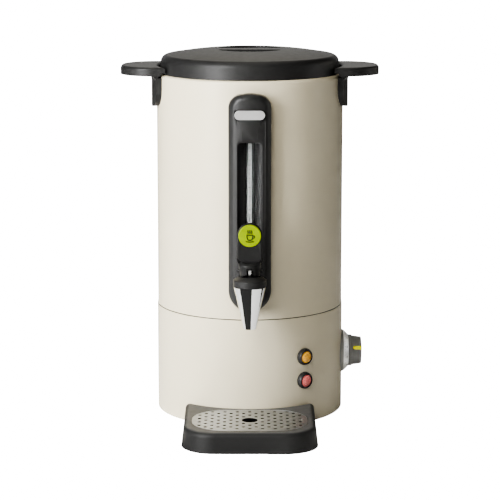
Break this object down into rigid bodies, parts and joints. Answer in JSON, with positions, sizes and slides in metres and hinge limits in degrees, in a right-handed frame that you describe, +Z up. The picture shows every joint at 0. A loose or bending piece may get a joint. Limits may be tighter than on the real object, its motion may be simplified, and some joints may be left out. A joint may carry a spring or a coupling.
{
  "type": "hot water urn",
  "caption": "Electric hot water urn: painted double-wall body, lift-off lid, side handles, lever tap with level gauge, thermostat knob, indicator lamps and drip tray.",
  "frame": {"origin": "on the body's axis, in the plane of the foot ring that the urn stands on", "axes": "+Z up; the tap, lever and drip tray face -Y; the thermostat knob is on +X; the power inlet is at +Y"},
  "size_m": [0.307, 0.3359, 0.435],
  "materials": {
    "painted_shell": "satin",
    "black_plastic": "fine matt grain",
    "stainless": "brushed",
    "zinc_steel": "zinc plated",
    "chrome": "polished",
    "dial_silver": "satin",
    "heater_alloy": "cast",
    "brass_parts": "machined",
    "dark_rubber": "matt",
    "silicone": "translucent silicone",
    "gauge_glass": "clear",
    "gauge_white": "white enamel",
    "lime_plastic": "gloss",
    "pointer_yellow": "gloss",
    "amber_plastic": "translucent",
    "red_plastic": "translucent",
    "insulator": "ceramic filled"
  },
  "bodies": {
    "housing": {"amber_bezel": "black_plastic", "amber_lens": "amber_plastic", "badge_plate": "chrome", "base_plate": "zinc_steel", "base_screws": "zinc_steel", "base_shell": "painted_shell", "capillary": "brass_parts", "clamp_nut": "zinc_steel", "dial_flange": "black_plastic", "dial_ring": "dial_silver", "foot_ring": "dark_rubber", "gauge_port": "brass_parts", "gauge_seals": "silicone", "gauge_strip": "gauge_white", "handle_left": "black_plastic", "handle_right": "black_plastic", "handle_screws": "zinc_steel", "heater_clamp": "zinc_steel", "heater_plate": "heater_alloy", "heating_element": "stainless", "inlet_bezel": "black_plastic", "inlet_pins": "brass_parts", "inlet_screws": "zinc_steel", "inner_tank": "stainless", "jacket": "painted_shell", "joint_ring": "black_plastic", "lamp_nuts": "insulator", "panel_screws": "zinc_steel", "power_inlet": "black_plastic", "red_bezel": "black_plastic", "red_lens": "red_plastic", "sight_glass": "gauge_glass", "tank_pan": "stainless", "tap_body": "chrome", "tap_collar": "black_plastic", "tap_nut": "stainless", "tap_panel": "black_plastic", "tap_seals": "silicone", "tap_washer": "dark_rubber", "terminal_block": "insulator", "thermal_cutout": "insulator", "thermostat_body": "zinc_steel", "thermostat_bulb": "brass_parts", "thermostat_nut": "zinc_steel"},
    "valve": {"valve_stem": "stainless", "seat_cup": "silicone", "valve_spring": "stainless"},
    "lever": {"lever": "black_plastic", "lever_disc": "lime_plastic", "lever_pin": "stainless"},
    "knob": {"control_knob": "black_plastic", "knob_pointer": "pointer_yellow", "thermostat_shaft": "zinc_steel"},
    "lid": {"lid_shell": "black_plastic", "lid_liner": "stainless", "lid_seal": "silicone", "lid_screws": "zinc_steel"},
    "tray": {"drip_tray": "black_plastic"},
    "grille": {"drip_grille": "stainless"}
  },
  "joints": [
    {"name": "lid_lift", "type": "slide", "parent": "housing", "child": "lid", "axis": [0, 0, 1], "range_m": [0, 0.12]},
    {"name": "stem_lift", "type": "slide", "parent": "housing", "child": "valve", "axis": [0, 0, 1], "range_m": [0, 0.0034], "stiffness_N_per_m": 700, "springref_m": -0.006, "deforming": ["valve_spring"]},
    {"name": "lever_tilt", "type": "hinge", "parent": "valve", "child": "lever", "pos_m": [0, -0.15, 0.1955], "axis": [1, 0, 0], "range_deg": [0, 35]},
    {"name": "knob_turn", "type": "hinge", "parent": "housing", "child": "knob", "pos_m": [0.1116, 0, 0.0674], "axis": [-1, 0, 0], "range_deg": [0, 270]},
    {"name": "tray_pull", "type": "slide", "parent": "housing", "child": "tray", "axis": [0, -1, 0], "range_m": [0, 0.15]},
    {"name": "grille_lift", "type": "slide", "parent": "tray", "child": "grille", "axis": [0, 0, 1], "range_m": [0, 0.06]}
  ],
  "couplings": [
    {"joint": "lever_tilt", "follows": "stem_lift", "rad_per_m": 179.67}
  ]
}
